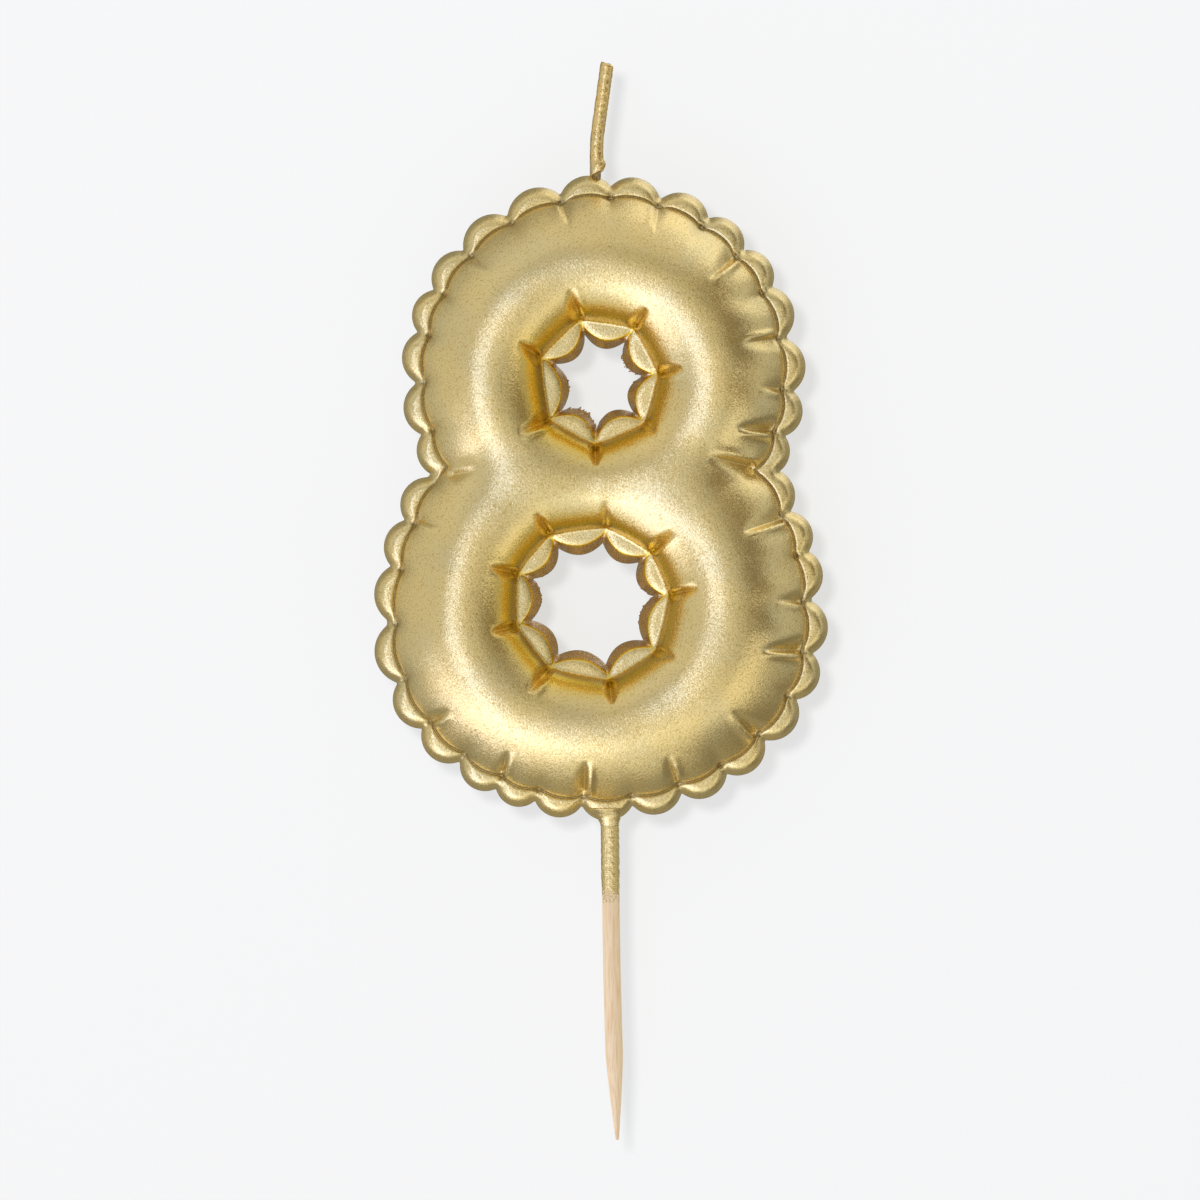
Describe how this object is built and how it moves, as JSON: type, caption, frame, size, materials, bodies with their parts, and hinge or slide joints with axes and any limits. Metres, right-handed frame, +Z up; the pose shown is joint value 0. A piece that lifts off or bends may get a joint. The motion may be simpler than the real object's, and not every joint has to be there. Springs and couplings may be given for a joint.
{
  "type": "number_cake_candle",
  "caption": "Gold lacquered number eight birthday candle shaped like a puffed foil balloon, on a wooden cake pick, with a waxed cotton wick.",
  "frame": {"origin": "on the pick's axis where the bare pick starts, just under the wax", "axes": "+Z up along the candle, front face towards -Y, +X to the right as seen from the front"},
  "size_m": [0.0545, 0.0166, 0.1293],
  "materials": {
    "gold_lacquer_wax": "satin metallic gold lacquer with a fine grain over cast paraffin wax",
    "pick_wood": "bare birch, fine lengthwise grain, gold lacquer on the top 9 mm",
    "wick_cotton": "braided cotton",
    "wick_wax": "thin wax jacket with the same metallic gold lacquer"
  },
  "bodies": {
    "root": {"wax_body": "gold_lacquer_wax", "wooden_pick": "pick_wood", "wick_cord": "wick_cotton", "wick_jacket": "wick_wax"}
  },
  "joints": []
}
